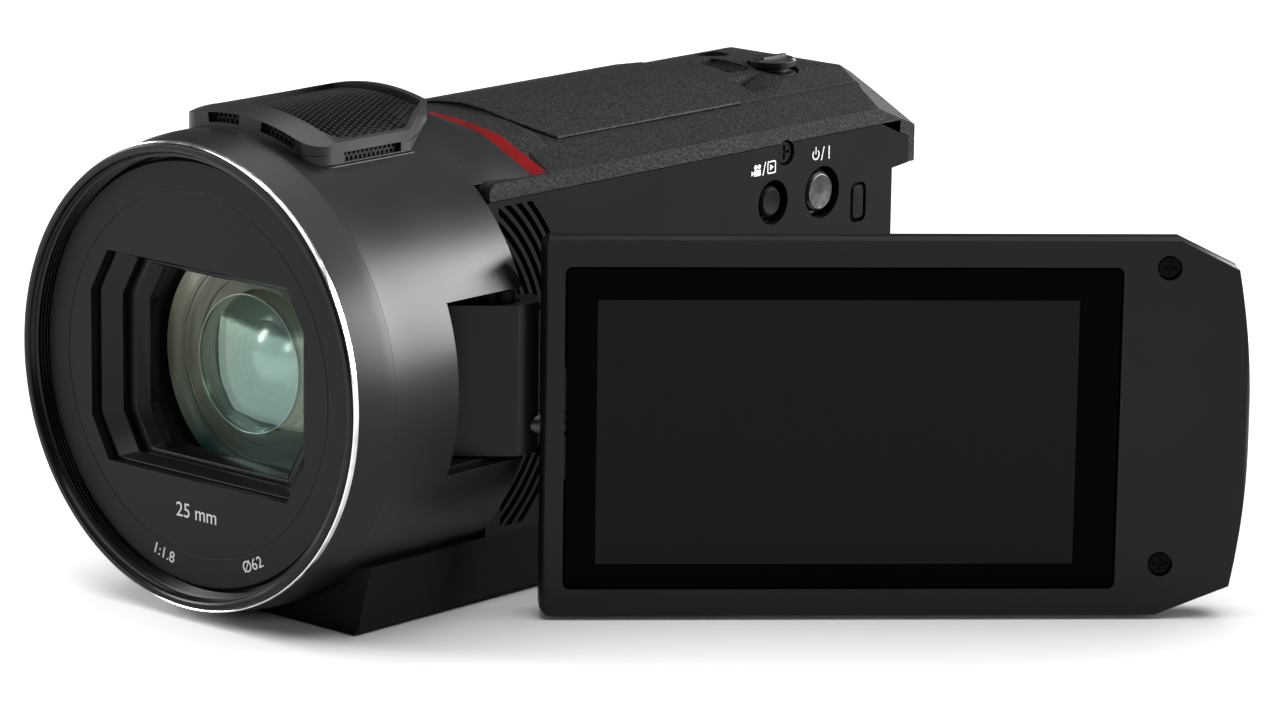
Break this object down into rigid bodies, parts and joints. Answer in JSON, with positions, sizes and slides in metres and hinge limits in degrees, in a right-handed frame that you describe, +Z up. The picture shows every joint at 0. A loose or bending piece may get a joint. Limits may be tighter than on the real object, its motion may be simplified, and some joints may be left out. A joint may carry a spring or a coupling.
{
  "type": "camcorder",
  "caption": "Hand-held video camera with a wide round lens barrel, roof microphone, side-hinged fold-out screen, grip strap and rear battery pack.",
  "frame": {"origin": "on the flat underside, on the lens axis plane, 50 mm behind the front rim and 20 mm in front of the tripod socket", "axes": "+X to the fold-out screen's side, -Y the way the lens looks, +Z up"},
  "size_m": [0.1506, 0.1391, 0.0705],
  "materials": {
    "satin_black": "satin black moulding",
    "matte_black": "smooth matte black",
    "grain_black": "fine grained black",
    "gloss_black": "glossy black",
    "chrome": "polished trim",
    "steel": "turned and plated steel",
    "brass": "machined",
    "red": "translucent red",
    "lens_glass": "coated lens glass",
    "board": "circuit board",
    "webbing": "padded webbing",
    "screen_black": "display panel"
  },
  "bodies": {
    "body": {"accent_band": "red", "barrel_shell": "satin_black", "base_cover": "matte_black", "battery_terminal": "brass", "card_slot": "steel", "chassis": "steel", "filter_ring": "gloss_black", "front_barrel": "satin_black", "front_lens": "lens_glass", "front_lens_cell": "matte_black", "front_trim_ring": "chrome", "grip_cover": "matte_black", "grip_strap": "webbing", "hinge_pocket": "matte_black", "image_sensor": "screen_black", "iris": "matte_black", "left_cover": "matte_black", "lens_hood": "satin_black", "lens_mask": "matte_black", "lens_tube": "matte_black", "main_board": "board", "mic_board": "board", "mic_grille": "grain_black", "mic_housing": "matte_black", "name_ring": "satin_black", "neck_cover": "satin_black", "rear_cover": "matte_black", "sensor_board": "board", "side_screw": "steel", "speaker": "steel", "speaker_grille": "matte_black", "strap_anchor_front": "steel", "strap_anchor_rear": "steel", "top_cover": "grain_black", "top_panel": "grain_black", "tripod_insert": "brass", "zoom_motor": "steel"},
    "screen_arm": {"hinge_block": "matte_black", "swing_pin": "steel"},
    "screen": {"tilt_shaft": "steel", "screen_bezel": "satin_black", "screen_back": "matte_black", "screen_glass": "gloss_black", "screen_module": "screen_black", "screen_screw_lower": "steel", "screen_screw_upper": "steel"},
    "zoom_rocker": {"zoom_lever": "satin_black"},
    "photo_key": {"photo_button": "satin_black"},
    "power_key": {"power_button": "steel"},
    "mode_key": {"mode_button": "matte_black"},
    "level_key": {"level_button": "matte_black"},
    "record_key": {"record_button": "red"},
    "battery": {"battery_pack": "matte_black"},
    "battery_catch": {"battery_latch": "grain_black"},
    "card_hatch": {"card_door": "matte_black"},
    "terminal_hatch": {"terminal_door": "matte_black"},
    "zoom_group": {"zoom_carrier": "matte_black", "zoom_lens": "lens_glass"},
    "focus_group": {"focus_carrier": "matte_black", "focus_lens": "lens_glass"}
  },
  "joints": [
    {"name": "screen_swing", "type": "hinge", "parent": "body", "child": "screen_arm", "pos_m": [0.0289, -0.0168, 0.0339], "axis": [0, 0, -1], "range_deg": [-45, 45]},
    {"name": "screen_tilt", "type": "hinge", "parent": "screen_arm", "child": "screen", "pos_m": [0.0289, -0.0168, 0.0271], "axis": [-0.7071, -0.7071, 0], "range_deg": [0, 14]},
    {"name": "zoom_rock", "type": "hinge", "parent": "body", "child": "zoom_rocker", "pos_m": [0.0074, 0.0642, 0.063], "axis": [0, 0, 1], "range_deg": [-18, 18], "stiffness_Nm_per_rad": 0.02},
    {"name": "photo_press", "type": "slide", "parent": "body", "child": "photo_key", "axis": [0, 0, -1], "range_m": [0, 0.0008], "stiffness_N_per_m": 300, "springref_m": -0.001},
    {"name": "power_press", "type": "slide", "parent": "body", "child": "power_key", "axis": [-1, 0, 0], "range_m": [0, 0.0006], "stiffness_N_per_m": 300, "springref_m": -0.001},
    {"name": "mode_press", "type": "slide", "parent": "body", "child": "mode_key", "axis": [-1, 0, 0], "range_m": [0, 0.0006], "stiffness_N_per_m": 300, "springref_m": -0.001},
    {"name": "level_press", "type": "slide", "parent": "body", "child": "level_key", "axis": [-1, 0, 0], "range_m": [0, 0.0006], "stiffness_N_per_m": 300, "springref_m": -0.001},
    {"name": "record_press", "type": "slide", "parent": "body", "child": "record_key", "axis": [0, -1, 0], "range_m": [0, 0.0008], "stiffness_N_per_m": 300, "springref_m": -0.001},
    {"name": "battery_slide", "type": "slide", "parent": "body", "child": "battery", "axis": [0, 0, -1], "range_m": [0, 0.012]},
    {"name": "battery_release", "type": "slide", "parent": "body", "child": "battery_catch", "axis": [1, 0, 0], "range_m": [0, 0.003], "stiffness_N_per_m": 200, "springref_m": -0.001},
    {"name": "card_door_hinge", "type": "hinge", "parent": "body", "child": "card_hatch", "pos_m": [-0.0092, 0.049, 0.0001], "axis": [0, 1, 0], "range_deg": [0, 90]},
    {"name": "terminal_door_hinge", "type": "hinge", "parent": "body", "child": "terminal_hatch", "pos_m": [-0.026, 0.0023, 0.0498], "axis": [0, 0, 1], "range_deg": [0, 100]},
    {"name": "zoom_travel", "type": "slide", "parent": "body", "child": "zoom_group", "axis": [0, 1, 0], "range_m": [-0.004, 0.01]},
    {"name": "focus_travel", "type": "slide", "parent": "body", "child": "focus_group", "axis": [0, 1, 0], "range_m": [-0.003, 0.004]}
  ]
}
